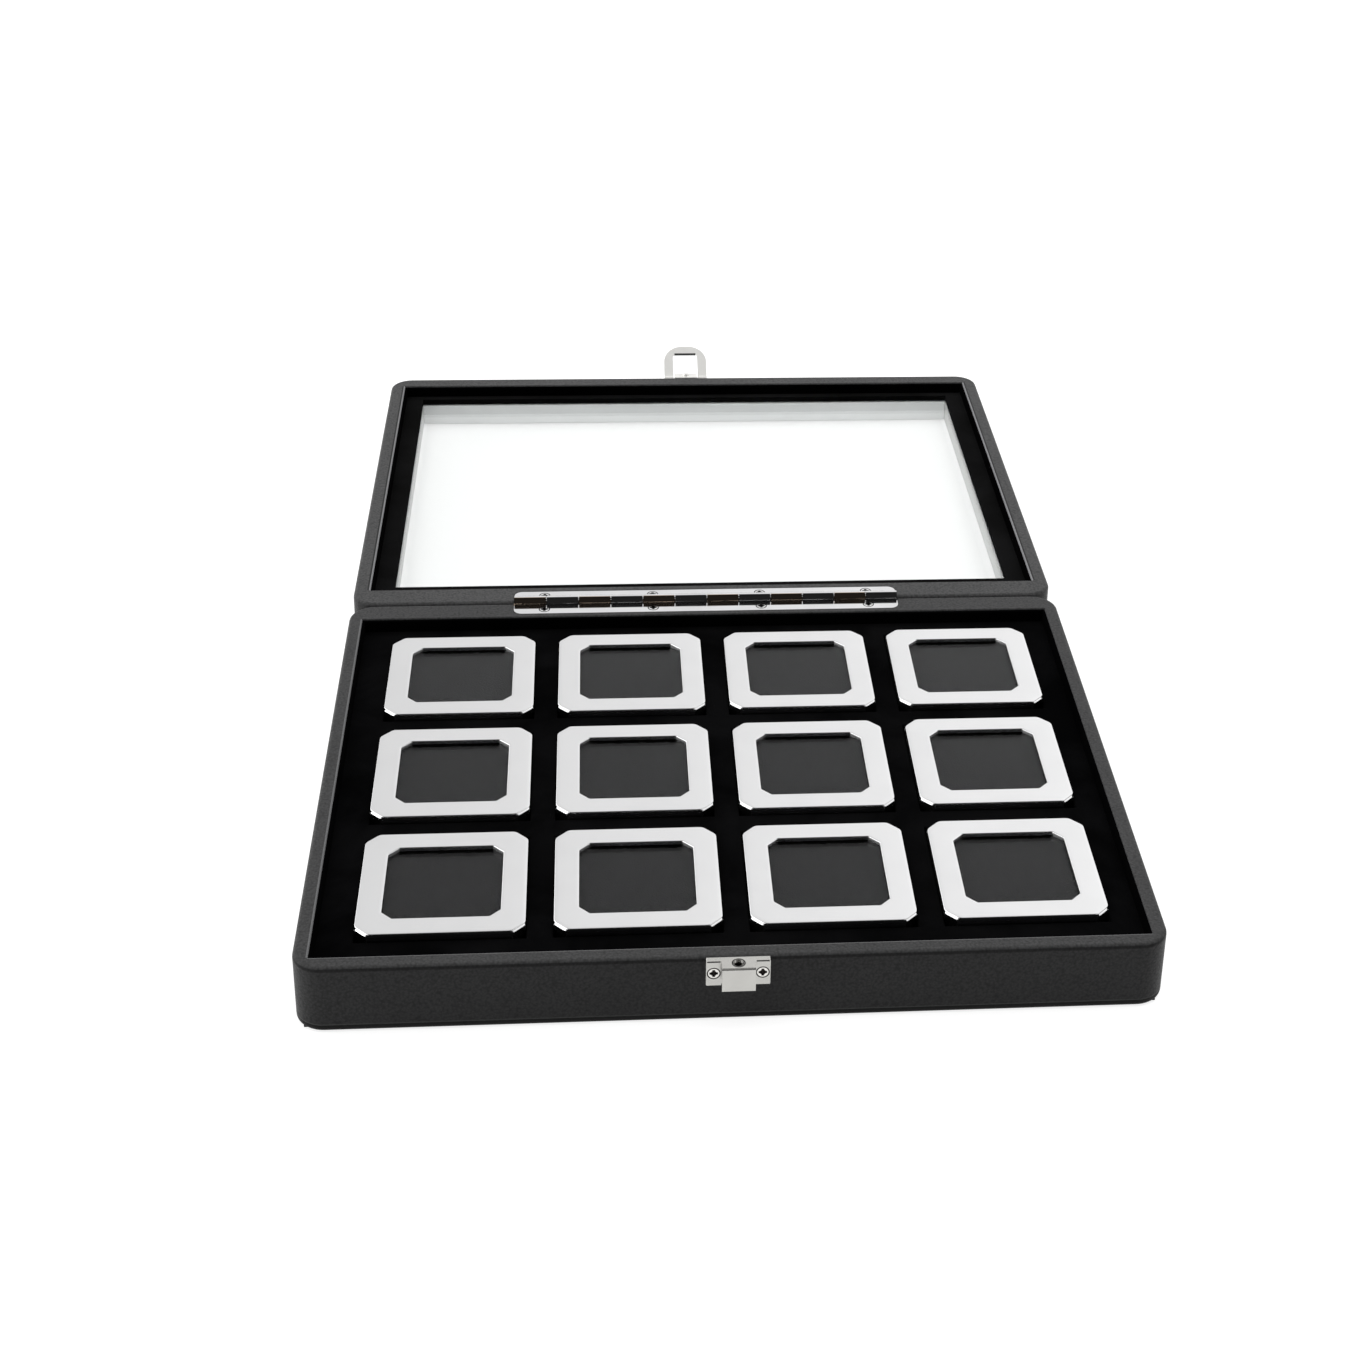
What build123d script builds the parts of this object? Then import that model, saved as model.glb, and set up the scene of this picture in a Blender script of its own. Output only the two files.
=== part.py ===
from build123d import *
import math
import os

# Gem boxes: twelve small square boxes with cut corners, in rows and columns
columns = 4
rows = 3
gem_size = 60.0            # outer width of one gem box
gem_corner = 4.6           # cut taken off each corner of a gem box
gem_corner_round = 1.0     # rounding where a cut meets a side
gem_height = 16.0          # closed height of one gem box
gem_gap_x = 9.9            # between two gem boxes side by side
gem_gap_y = 11.2           # between two gem boxes front to back
gem_plate = 1.5            # top of the gem lid
gem_window = 42.1          # square window in the gem lid
gem_window_corner = 4.2    # cut taken off each corner of that window
gem_window_edge = 0.35     # bevel round the window's upper edge
gem_edge = 0.45            # bevel round the gem lid's upper edge
gem_wall = 1.0             # tray wall
gem_floor = 1.0            # tray floor
gem_foot = 0.6             # rounding under the tray
gem_seam = 0.15            # slit between the gem lid and its tray
gem_skirt = 1.0            # wall of the skirt under the gem lid
gem_skirt_drop = 1.3       # how far the skirt reaches into the tray
gem_skirt_gap = 0.15       # running room between skirt and tray
gem_pane = 1.1             # glass of the gem lid
gem_pane_gap = 0.1         # room round that glass
pad_air = 0.9              # space between the glass and the foam
pad_gap = 0.3              # room round the foam

# Velvet insert that holds the gem boxes
pocket_gap = 0.3           # room round a gem box in its pocket
pocket_floor = 5.3         # insert left under a pocket
pocket_edge = 0.6          # rounding of a pocket's upper edge
gem_seat = 0.2             # nap of the velvet under a gem box
gem_proud = 3.0            # gem boxes stand this far above the insert
insert_gap = 0.3           # room between the insert and the walls
lining = 1.0               # thickness of the wall linings
lining_below_rim = 0.8     # the linings end this far short of the rims

# Base of the case
left_margin = 13.8         # gem boxes to the left wall
right_margin = 11.8        # gem boxes to the right wall
front_margin = 15.4        # gem boxes to the front wall
rear_margin = 11.0         # gem boxes to the rear wall
wall_side = 5.7
wall_front = 6.4
wall_rear = 11.6
rim_above_gems = 2.9       # the rim stands this far above the gem boxes
board = 3.0                # bottom board
board_inset = 3.0          # bottom board to the outer faces
board_gap = 0.2            # room round the bottom board
case_corner = 10.5         # upright corners, seen from above
rim_round = 1.6            # outer edges of both rims
foot_round = 2.0           # outer edges of the base's foot and the lid's top
inner_edge = 0.7           # inner edges of both rims

# Lid of the case
lid_wall_side = 7.05
lid_wall_front = 9.3
lid_wall_rear = 12.9       # wall at the hinge
lid_recess = 5.5           # rim down to the velvet bezel
bezel = 2.8                # velvet-covered board round the glass
bezel_gap = 0.2            # room round that board
bezel_side = 9.3           # visible width of the bezel at the sides
bezel_front = 5.0          # visible width of the bezel at the front
bezel_rear = 12.6          # visible width of the bezel at the hinge
lid_board = 12.3           # top board of the lid, round the window
lid_gap = 0.3              # closed lid to base, rim to rim
glass = 2.0                # big glass pane
glass_rebate = 2.0         # width of the ledge that carries the pane
glass_gap = 0.2            # room round the pane
frame_strip = 1.2          # wall of the window frame behind that ledge
frame_gap = 0.1            # room between the window frame and the board
frame_short = 0.3          # the window frame ends this far inside the lid's top

# Hinge
hinge_length = 167.2
hinge_standoff = 0.6       # rear wall to the hinge axis
knuckle_count = 12
knuckle_radius = 2.7
knuckle_gap = 0.3          # between neighbouring knuckles, and round them
pin_radius = 0.8
pin_play = 0.05            # pin in its knuckles
pin_short = 0.4            # the pin ends this far inside the end knuckles
leaf = 1.0                 # sheet of the hinge leaves
leaf_screw_clear = 1.1     # knuckles to the screw heads
leaf_edge = 1.4            # screw heads to the edge of a leaf
leaf_corner = 3.5
leaf_gap = 0.3             # room round a leaf in the rim
leaf_screws = 4
leaf_screw_end = 13.1      # end of the hinge to its first screw
groove_gap = 0.4           # room round the knuckles in the rims

# Screws
head_radius = 2.2
shank_radius = 1.0
leaf_screw_length = 8.0
sunk_head = 0.9            # height of a countersunk head
cross_length = 2.6         # cross recess in a screw head
cross_width = 0.55
cross_depth = 0.5
screw_play = 0.05          # screws in their holes
sink_play = 0.12           # sunk heads in their seats
screw_cover = 2.2          # wood left behind the tip of a plate's screw

# Catch on the base and hasp on the lid
catch_width = 22.4
catch_height = 10.3        # ears of both plates
catch_below_rim = 0.1      # both plates end this far short of their rims
ear_thickness = 2.2
tongue_width = 11.7
tongue_reach = 6.8         # front wall to the face of the tongue
tongue_drop = 9.7          # upper face of the tongue to its tip
tongue_sheet = 1.2
tongue_bend = 0.8          # outer radius of the tongue's bend
tongue_bend_inside = 0.3
block_round = 1.6          # outer edges of the hasp's block
plate_edge = 0.4           # rounding of the plates
stud_radius = 1.6          # locating stud of the hasp
stud_height = 1.0
stud_round = 0.6
stud_offset = 3.3          # front wall to the stud and its hole
stud_gap = 0.3             # stud in its hole
hasp_axis_out = 4.3        # lid's front wall to the loop's pin
hasp_axis_up = 3.0         # lid's rim to the loop's pin
hasp_block = 5.2           # height of the block that carries the pin
hasp_block_reach = 6.6     # front wall to the face of that block
hasp_eye = 1.9             # outer radius of the loop's eyes
hasp_pin_radius = 0.8
loop_play = 0.6            # loop beside the block and the tongue
loop_sheet = 1.4
loop_window = 15.4         # pin to the inner edge of the loop's bar
loop_corner = 9.4          # outer corners of the loop
loop_window_corner = 1.0
hasp_swing = 55.0          # degrees from latched to laid back

# Sizes that follow
grid_width = columns * gem_size + (columns - 1) * gem_gap_x
grid_depth = rows * gem_size + (rows - 1) * gem_gap_y
inner_width = grid_width + left_margin + right_margin
inner_depth = grid_depth + front_margin + rear_margin
case_width = inner_width + 2 * wall_side
case_depth = inner_depth + wall_front + wall_rear
gem_bottom = board + pocket_floor + gem_seat
gem_top = gem_bottom + gem_height
base_height = gem_top + rim_above_gems
insert_top = gem_top - gem_proud
inner_y = (wall_front - wall_rear) / 2
grid_x = (left_margin - right_margin) / 2
grid_y = inner_y + (front_margin - rear_margin) / 2
rear_face = case_depth / 2
front_face = -case_depth / 2

hinge_y = rear_face + hinge_standoff
hinge_z = base_height + lid_gap / 2
lid_height = lid_recess + bezel + lid_board
lid_rim = -lid_gap / 2
lid_near = hinge_standoff
lid_far = hinge_standoff + case_depth
lid_inner_width = case_width - 2 * lid_wall_side
lid_inner_depth = case_depth - lid_wall_front - lid_wall_rear
lid_inner_y = lid_near + lid_wall_rear + lid_inner_depth / 2
window_width = lid_inner_width - 2 * bezel_side
window_depth = lid_inner_depth - bezel_front - bezel_rear
window_y = lid_inner_y + (bezel_rear - bezel_front) / 2

# The open lid leans back until the outer edge of its top rests on the table
lean_reach = lid_far - foot_round
lean_drop = lid_height + lid_gap / 2 - foot_round
lid_lean = math.degrees(
    math.asin((hinge_z - foot_round) / math.hypot(lean_reach, lean_drop))
    - math.atan2(lean_drop, lean_reach)
)

knuckle_pitch = hinge_length / knuckle_count
leaf_screw_y = knuckle_radius + leaf_screw_clear + head_radius
leaf_width = leaf_screw_y + head_radius + leaf_edge
leaf_screw_pitch = (hinge_length - 2 * leaf_screw_end) / (leaf_screws - 1)
leaf_screw_x = [
    -hinge_length / 2 + leaf_screw_end + i * leaf_screw_pitch
    for i in range(leaf_screws)
]

catch_top = base_height - catch_below_rim
ear_width = (catch_width - tongue_width) / 2
ear_x = (catch_width - ear_width) / 2
hasp_y = lid_far + hasp_axis_out
hasp_z = lid_rim - hasp_axis_up
hasp_ear_top = hasp_z - hasp_eye - knuckle_gap
loop_inner_width = tongue_width + 2 * loop_play
loop_width = catch_width
loop_arm = (loop_width - loop_inner_width) / 2
loop_length = loop_window + loop_arm
hasp_pin_length = loop_width - 2 * pin_short

low = (Align.CENTER, Align.CENTER, Align.MIN)
high = (Align.CENTER, Align.CENTER, Align.MAX)


def save(shape, node):
    export_step(shape, f"parts/{node}.step")


def grown(corner, gap):
    # The cut that keeps an even gap all round a shape with cut corners.
    return corner + gap * (2 - math.sqrt(2))


def cut_square(size, corner, rounding=0.0):
    outline = Rectangle(size, size)
    outline = chamfer(outline.vertices(), corner)
    if rounding > 0:
        outline = fillet(outline.vertices(), rounding)
    return outline


def slab(outline, z, height):
    return Pos(0, 0, z) * extrude(outline, amount=height)


def edges_at(shape, z):
    return [e for e in shape.edges() if abs(e.center().Z - z) < 0.001]


def ring(width, depth, wall, z, height):
    solid = Pos(0, 0, z) * Box(width, depth, height, align=low)
    return solid - Pos(0, 0, z) * Box(width - 2 * wall, depth - 2 * wall, height, align=low)


def rounded_block(width, depth, height, upper, lower):
    # A block with upright corners rounded, its upper and lower edges too.
    block = extrude(RectangleRounded(width, depth, case_corner), amount=height)
    block = fillet(edges_at(block, height), upper)
    return fillet(edges_at(block, 0), lower)


def gem_places():
    # Row a lies by the hinge and column 1 at the left, seen from the front.
    for row in range(rows):
        for column in range(columns):
            x = grid_x + (column - (columns - 1) / 2) * (gem_size + gem_gap_x)
            y = grid_y + ((rows - 1) / 2 - row) * (gem_size + gem_gap_y)
            yield f"{chr(ord('a') + row)}{column + 1}", x, y


# One gem box, with its middle above the origin

def gem_tray():
    height = gem_height - gem_plate - gem_seam
    shell = slab(cut_square(gem_size, gem_corner, gem_corner_round), gem_bottom, height)
    shell = fillet(edges_at(shell, gem_bottom), gem_foot)
    inside = cut_square(gem_size - 2 * gem_wall, grown(gem_corner, -gem_wall))
    return shell - slab(inside, gem_bottom + gem_floor, height)


def foam_pad():
    inset = gem_wall + gem_skirt_gap + gem_skirt + pad_gap
    outline = cut_square(gem_size - 2 * inset, grown(gem_corner, -inset))
    bottom = gem_bottom + gem_floor
    top = gem_top - gem_plate - gem_pane - pad_air
    return slab(outline, bottom, top - bottom)


def gem_lid():
    sheet = slab(cut_square(gem_size, gem_corner, gem_corner_round), gem_top - gem_plate, gem_plate)
    sheet = chamfer(edges_at(sheet, gem_top), gem_edge)
    window = cut_square(gem_window, gem_window_corner)
    sheet -= slab(window, gem_top - gem_plate, gem_plate)
    inner_edges = [e for e in edges_at(sheet, gem_top) if max(abs(e.center().X), abs(e.center().Y)) <= gem_window / 2]
    sheet = chamfer(inner_edges, gem_window_edge)
    inset = gem_wall + gem_skirt_gap
    bottom = gem_top - gem_plate - gem_skirt_drop
    skirt = slab(cut_square(gem_size - 2 * inset, grown(gem_corner, -inset)), bottom, gem_skirt_drop)
    inset += gem_skirt
    skirt -= slab(cut_square(gem_size - 2 * inset, grown(gem_corner, -inset)), bottom, gem_skirt_drop)
    inset += gem_pane_gap
    pane = slab(
        cut_square(gem_size - 2 * inset, grown(gem_corner, -inset)),
        gem_top - gem_plate - gem_pane,
        gem_pane,
    )
    return [sheet + skirt, pane]


# Screws stand on their points, with the seat of the head at the origin

def cross_recess(top):
    bar = Box(cross_length, cross_width, cross_depth, align=high)
    return Pos(0, 0, top) * (bar + Rot(0, 0, 90) * bar)


def sunk_screw(length):
    head = Cone(shank_radius, head_radius, sunk_head, align=high)
    shank = Pos(0, 0, -sunk_head) * Cylinder(shank_radius, length - sunk_head, align=high)
    return head + shank - cross_recess(0)


def sunk_hole(length):
    seat = Cone(shank_radius + sink_play, head_radius + sink_play, sunk_head, align=high)
    return seat + Cylinder(shank_radius + screw_play, length, align=high)


def screw_hole(length):
    return Cylinder(shank_radius + screw_play, length, align=high)


# Hinge, with its axis through the origin and the base towards -Y

def leaf_outline(gap):
    # Only the corners away from the axis are rounded.
    length = hinge_length + 2 * gap
    outline = Rectangle(length, 2 * (leaf_width + gap))
    return fillet(outline.vertices(), leaf_corner + gap)


def leaf_plate(side, own):
    top = lid_rim
    sheet = slab(leaf_outline(0), top - leaf, leaf)
    reach = leaf_width
    sheet &= Pos(0, side * reach / 2, 0) * Box(hinge_length, reach, 2 * knuckle_radius)
    clear = knuckle_radius + knuckle_gap
    length = knuckle_pitch - knuckle_gap
    for i in range(knuckle_count):
        x = -hinge_length / 2 + (i + 0.5) * knuckle_pitch
        if i % 2 == own:
            sheet += Pos(x, 0, 0) * Rot(0, 90, 0) * Cylinder(knuckle_radius, length)
    for i in range(knuckle_count):
        x = -hinge_length / 2 + (i + 0.5) * knuckle_pitch
        if i % 2 != own:
            sheet -= Pos(x, 0, 0) * Box(knuckle_pitch + knuckle_gap, 2 * clear, 2 * clear)
    sheet -= Rot(0, 90, 0) * Cylinder(pin_radius + pin_play, hinge_length)
    for x in leaf_screw_x:
        sheet -= Pos(x, side * leaf_screw_y, top) * sunk_hole(leaf_screw_length)
    return sheet


def leaf_recess(side):
    # What is cut from a rim for its leaf, its knuckles and its screws.
    sheet = slab(leaf_outline(leaf_gap), lid_rim - leaf, leaf + knuckle_radius)
    reach = leaf_width + leaf_gap
    sheet &= Pos(0, side * reach / 2, 0) * Box(hinge_length + 2 * leaf_gap, reach, 4 * knuckle_radius)
    length = hinge_length + 2 * leaf_gap
    sheet += Rot(0, 90, 0) * Cylinder(knuckle_radius + groove_gap, length)
    for x in leaf_screw_x:
        sheet += Pos(x, side * leaf_screw_y, lid_rim) * screw_hole(leaf_screw_length)
    return sheet


def leaf_screw_group(side):
    screw = sunk_screw(leaf_screw_length)
    return [Pos(x, side * leaf_screw_y, lid_rim) * screw for x in leaf_screw_x]


def on_hinge(shape):
    return Pos(0, hinge_y, hinge_z) * shape


def on_lid(shape):
    # Lid pieces are drawn lying open and level, then leaned back.
    return Pos(0, hinge_y, hinge_z) * Rot(-lid_lean, 0, 0) * shape


# Base of the case

def base_case():
    shell = rounded_block(case_width, case_depth, base_height, rim_round, foot_round)
    shell -= Pos(0, inner_y, 0) * Box(inner_width, inner_depth, base_height, align=low)
    top_edges = [
        e for e in edges_at(shell, base_height)
        if abs(e.center().X) < inner_width / 2 + 0.001 and abs(e.center().Y - inner_y) < inner_depth / 2 + 0.001
    ]
    shell = fillet(top_edges, inner_edge)
    shell -= Box(case_width - 2 * board_inset, case_depth - 2 * board_inset, board, align=low)
    shell -= on_hinge(leaf_recess(-1))
    for x in (-ear_x, ear_x):
        shell -= catch_place(x) * screw_hole(catch_screw_length())
    return shell


def base_board():
    inset = board_inset + board_gap
    return Box(case_width - 2 * inset, case_depth - 2 * inset, board, align=low)


def velvet_insert():
    width = inner_width - 2 * insert_gap
    depth = inner_depth - 2 * insert_gap
    block = Pos(0, inner_y, board) * Box(width, depth, insert_top - board, align=low)
    pocket = Rectangle(gem_size + 2 * pocket_gap, gem_size + 2 * pocket_gap)
    pocket = slab(pocket, board + pocket_floor, insert_top - board)
    for name, x, y in gem_places():
        block -= Pos(x, y, 0) * pocket
    rims = [
        e for e in edges_at(block, insert_top)
        if abs(e.center().X) < width / 2 - 0.001 and abs(e.center().Y - inner_y) < depth / 2 - 0.001
    ]
    return fillet(rims, pocket_edge)


def base_lining():
    height = base_height - lining_below_rim - insert_top
    return Pos(0, inner_y, 0) * ring(inner_width, inner_depth, lining, insert_top, height)


# Catch on the front of the base

def catch_screw_length():
    return ear_thickness + wall_front - screw_cover


def catch_place(x):
    z = catch_top - catch_height / 2
    return Pos(x, front_face - ear_thickness, z) * Rot(90, 0, 0)


def catch_plate():
    back = Box(catch_width, ear_thickness, catch_height, align=(Align.CENTER, Align.MAX, Align.MAX))
    back = fillet(back.edges().filter_by(Axis.Y), plate_edge)
    gap = Box(
        tongue_width, ear_thickness, catch_height, align=(Align.CENTER, Align.MAX, Align.MAX)
    )
    back -= Pos(0, -tongue_sheet, 0) * gap
    tongue = Box(tongue_width, tongue_reach, tongue_drop, align=(Align.CENTER, Align.MAX, Align.MAX))
    front = [
        e for e in tongue.edges().filter_by(Axis.X)
        if abs(e.center().Z) < 0.001 and e.center().Y < -tongue_reach / 2
    ]
    tongue = fillet(front, tongue_bend)
    hollow_depth = tongue_reach - tongue_sheet
    hollow = Pos(0, 0, -tongue_sheet) * Box(
        tongue_width, hollow_depth, tongue_drop, align=(Align.CENTER, Align.MAX, Align.MAX)
    )
    inner = [
        e for e in hollow.edges().filter_by(Axis.X)
        if abs(e.center().Z + tongue_sheet) < 0.001 and e.center().Y < -hollow_depth / 2
    ]
    hollow = fillet(inner, tongue_bend_inside)
    tongue -= hollow
    tip = [
        e for e in tongue.edges().filter_by(Axis.X)
        if abs(e.center().Z + tongue_drop) < 0.001 and e.center().Y < -tongue_reach + 0.001
    ]
    tongue = fillet(tip, plate_edge)
    plate = back + tongue
    plate -= Pos(0, -stud_offset, 0) * Cylinder(stud_radius + stud_gap, 3 * tongue_sheet)
    plate = Pos(0, front_face, catch_top) * plate
    for x in (-ear_x, ear_x):
        plate -= catch_place(x) * sunk_hole(catch_screw_length())
    return plate


def catch_screws():
    screw = sunk_screw(catch_screw_length())
    return [catch_place(x) * screw for x in (-ear_x, ear_x)]


# Lid of the case

def lid_case():
    shell = rounded_block(case_width, case_depth, lid_height, rim_round, foot_round)
    shell = Pos(0, lid_near + case_depth / 2, lid_rim - lid_height) * shell
    depth = lid_recess + bezel
    shell -= Pos(0, lid_inner_y, lid_rim) * Box(lid_inner_width, lid_inner_depth, depth, align=high)
    top_edges = [
        e for e in edges_at(shell, lid_rim)
        if abs(e.center().X) < lid_inner_width / 2 + 0.001
        and abs(e.center().Y - lid_inner_y) < lid_inner_depth / 2 + 0.001
    ]
    shell = fillet(top_edges, inner_edge)
    hole = glass_rebate + frame_strip + frame_gap
    shell -= Pos(0, window_y, lid_rim) * Box(
        window_width + 2 * hole, window_depth + 2 * hole, lid_height, align=high
    )
    shell -= leaf_recess(1)
    for x in (-ear_x, ear_x):
        shell -= hasp_place(x) * screw_hole(hasp_screw_length())
    return shell


def lid_lining():
    bottom = lid_rim - lid_recess
    height = lid_recess - lining_below_rim
    return Pos(0, lid_inner_y, 0) * ring(lid_inner_width, lid_inner_depth, lining, bottom, height)


def velvet_bezel():
    top = lid_rim - lid_recess
    solid = Pos(0, lid_inner_y, top) * Box(
        lid_inner_width - 2 * bezel_gap, lid_inner_depth - 2 * bezel_gap, bezel, align=high
    )
    return solid - Pos(0, window_y, top) * Box(window_width, window_depth, bezel, align=high)


def window_frame():
    top = lid_rim - lid_recess - bezel
    outer = glass_rebate + frame_strip
    height = lid_board - frame_short
    solid = Box(window_width + 2 * outer, window_depth + 2 * outer, height, align=high)
    solid -= Box(window_width, window_depth, height, align=high)
    solid -= Box(window_width + 2 * glass_rebate, window_depth + 2 * glass_rebate, glass, align=high)
    return Pos(0, window_y, top) * solid


def lid_glass():
    top = lid_rim - lid_recess - bezel
    edge = glass_rebate - glass_gap
    return Pos(0, window_y, top) * Box(window_width + 2 * edge, window_depth + 2 * edge, glass, align=high)


# Hasp on the front of the lid

def hasp_screw_length():
    return ear_thickness + lid_wall_front - screw_cover


def hasp_place(x):
    z = hasp_ear_top - catch_height / 2
    return Pos(x, lid_far + ear_thickness, z) * Rot(-90, 0, 0)


def hasp_plate():
    inward = (Align.CENTER, Align.MIN, Align.MAX)
    ears = Pos(0, lid_far, hasp_ear_top) * Box(catch_width, ear_thickness, catch_height, align=inward)
    ears = fillet(ears.edges().filter_by(Axis.Y), plate_edge)
    top = lid_rim - catch_below_rim
    strip = Pos(0, lid_far, top) * Box(tongue_width, tongue_sheet, top - hasp_ear_top + catch_height, align=inward)
    block = Box(tongue_width, hasp_block_reach, hasp_block, align=inward)
    outer = [e for e in block.edges().filter_by(Axis.X) if e.center().Y > hasp_block_reach / 2]
    block = Pos(0, lid_far, top) * fillet(outer, block_round)
    stud = Pos(0, lid_far + stud_offset, top) * Cylinder(stud_radius, stud_height + catch_below_rim, align=low)
    stud = fillet(edges_at(stud, top + stud_height + catch_below_rim), stud_round)
    plate = ears + strip + block + stud
    plate -= Pos(0, hasp_y, hasp_z) * Rot(0, 90, 0) * Cylinder(hasp_pin_radius + pin_play, loop_width)
    for x in (-ear_x, ear_x):
        plate -= hasp_place(x) * sunk_hole(hasp_screw_length())
    return plate


def hasp_screws():
    screw = sunk_screw(hasp_screw_length())
    return [hasp_place(x) * screw for x in (-ear_x, ear_x)]


def hasp_pin():
    return Pos(0, hasp_y, hasp_z) * Rot(0, 90, 0) * Cylinder(hasp_pin_radius, hasp_pin_length)


def hasp_loop():
    # Drawn upright above its pin, as it stands when latched, then laid back.
    outline = Pos(0, loop_length / 2) * Rectangle(loop_width, loop_length)
    far = [v for v in outline.vertices() if v.Y > loop_length / 2]
    outline = fillet(far, loop_corner)
    window = Pos(0, loop_window / 2) * Rectangle(loop_inner_width, loop_window)
    far = [v for v in window.vertices() if v.Y > loop_window / 2]
    outline -= fillet(far, loop_window_corner)
    solid = Rot(90, 0, 0) * Pos(0, 0, -loop_sheet / 2) * extrude(outline, amount=loop_sheet)
    eye_x = (loop_width - loop_arm) / 2
    for x in (-eye_x, eye_x):
        solid += Pos(x, 0, 0) * Rot(0, 90, 0) * Cylinder(hasp_eye, loop_arm)
    solid -= Rot(0, 90, 0) * Cylinder(hasp_pin_radius + pin_play, loop_width)
    return Pos(0, hasp_y, hasp_z) * Rot(-hasp_swing, 0, 0) * solid


def group(solids):
    return Compound([s.solid() for s in solids])


os.makedirs("parts", exist_ok=True)

save(base_case(), "base_case")
save(base_board(), "base_board")
save(velvet_insert(), "velvet_insert")
save(base_lining(), "base_lining")
save(catch_plate(), "catch_plate")
save(group(catch_screws()), "catch_screws")
save(on_hinge(leaf_plate(-1, 0)), "base_hinge_leaf")
save(group([on_hinge(s) for s in leaf_screw_group(-1)]), "base_hinge_screws")
save(on_hinge(Rot(0, 90, 0) * Cylinder(pin_radius, hinge_length - 2 * pin_short)), "hinge_pin")

save(on_lid(lid_case()), "lid_case")
save(on_lid(lid_lining()), "lid_lining")
save(on_lid(velvet_bezel()), "velvet_bezel")
save(on_lid(window_frame()), "window_frame")
save(on_lid(lid_glass()), "lid_glass")
save(on_lid(leaf_plate(1, 1)), "lid_hinge_leaf")
save(group([on_lid(s) for s in leaf_screw_group(1)]), "lid_hinge_screws")
save(on_lid(hasp_plate()), "hasp_plate")
save(group([on_lid(s) for s in hasp_screws()]), "hasp_screws")
save(on_lid(hasp_pin()), "hasp_pin")
save(on_lid(hasp_loop()), "hasp_loop")

one_tray = gem_tray()
one_pad = foam_pad()
one_lid = gem_lid()
for name, x, y in gem_places():
    save(Pos(x, y, 0) * one_tray, f"gem_tray_{name}")
    save(Pos(x, y, 0) * one_pad, f"foam_pad_{name}")
    save(group([Pos(x, y, 0) * s for s in one_lid]), f"gem_lid_{name}")

lid_axis = (0, hinge_y, hinge_z)
spot = on_lid(Pos(0, hasp_y, hasp_z) * Cylinder(1, 1)).center()
print("case", round(case_width, 3), round(case_depth, 3), round(base_height, 3), "lid", lid_height)
print("hinge axis", lid_axis, "opens to", 180 + lid_lean)
print("hasp axis", spot.Y, spot.Z)
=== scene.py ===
import bpy
import math
import numpy as np
from mathutils import Matrix, Vector


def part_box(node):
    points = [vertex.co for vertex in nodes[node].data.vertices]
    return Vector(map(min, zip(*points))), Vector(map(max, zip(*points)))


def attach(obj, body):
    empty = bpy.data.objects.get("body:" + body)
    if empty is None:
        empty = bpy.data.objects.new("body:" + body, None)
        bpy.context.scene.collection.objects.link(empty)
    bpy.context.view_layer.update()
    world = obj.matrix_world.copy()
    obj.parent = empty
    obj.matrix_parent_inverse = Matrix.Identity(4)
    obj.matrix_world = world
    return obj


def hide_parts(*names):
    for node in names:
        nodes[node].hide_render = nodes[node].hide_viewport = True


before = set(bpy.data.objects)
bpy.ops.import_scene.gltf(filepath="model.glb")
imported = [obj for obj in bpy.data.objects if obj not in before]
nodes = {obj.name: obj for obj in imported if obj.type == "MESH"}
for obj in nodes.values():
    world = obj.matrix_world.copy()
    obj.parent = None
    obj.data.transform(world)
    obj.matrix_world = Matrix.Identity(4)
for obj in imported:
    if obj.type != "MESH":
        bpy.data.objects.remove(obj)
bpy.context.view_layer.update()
mm = 0.001
gemNames = [row + column for row in "abc" for column in "1234"]
print("frame loaded:", len(nodes), "nodes")


# Every material is a Principled shader fed by nodes that read Object coordinates.

def addNode(tree, kind, **settings):
    node = tree.nodes.new(kind)
    for name, value in settings.items():
        setattr(node, name, value)
    return node


def setInputs(node, **values):
    # Socket names are written with underscores for their blanks.
    for name, value in values.items():
        node.inputs[name.replace("_", " ")].default_value = value
    return node


def newMaterial(name, **values):
    material = bpy.data.materials.new(name)
    material.use_nodes = True
    tree = material.node_tree
    shader = tree.nodes["Principled BSDF"]
    setInputs(shader, **values)
    return material, tree, shader


def objectPoint(tree, centre=(0, 0, 0), turn=(0, 0, 0)):
    # The point on the piece in its own space, with a pattern's middle moved to centre.
    spot = addNode(tree, "ShaderNodeTexCoord")
    mapping = addNode(tree, "ShaderNodeMapping", vector_type="TEXTURE")
    setInputs(mapping, Location=centre, Rotation=turn)
    tree.links.new(spot.outputs["Object"], mapping.inputs["Vector"])
    return mapping.outputs["Vector"]


def mixColours(tree, mask, first, second):
    # first where the mask is 0, second where it is 1. Each is a colour or another node's colour.
    mix = addNode(tree, "ShaderNodeMix", data_type="RGBA")
    for socket, side in ((mix.inputs[6], first), (mix.inputs[7], second)):
        if isinstance(side, tuple):
            socket.default_value = (*side, 1)
        else:
            tree.links.new(side, socket)
    tree.links.new(mask, mix.inputs[0])
    return mix.outputs[2]


def mapRange(tree, value, low, high, toLow, toHigh):
    node = addNode(tree, "ShaderNodeMapRange")
    for name, number in (("From Min", low), ("From Max", high), ("To Min", toLow), ("To Max", toHigh)):
        node.inputs[name].default_value = number
    tree.links.new(value, node.inputs["Value"])
    return node.outputs["Result"]


def addBump(tree, shader, height, strength, distance):
    bump = addNode(tree, "ShaderNodeBump")
    setInputs(bump, Strength=strength, Distance=distance)
    tree.links.new(height, bump.inputs["Height"])
    tree.links.new(bump.outputs["Normal"], shader.inputs["Normal"])


def useGroup(tree, group, vector, **values):
    node = addNode(tree, "ShaderNodeGroup", node_tree=group)
    setInputs(node, **values)
    tree.links.new(vector, node.inputs["Vector"])
    return node


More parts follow.
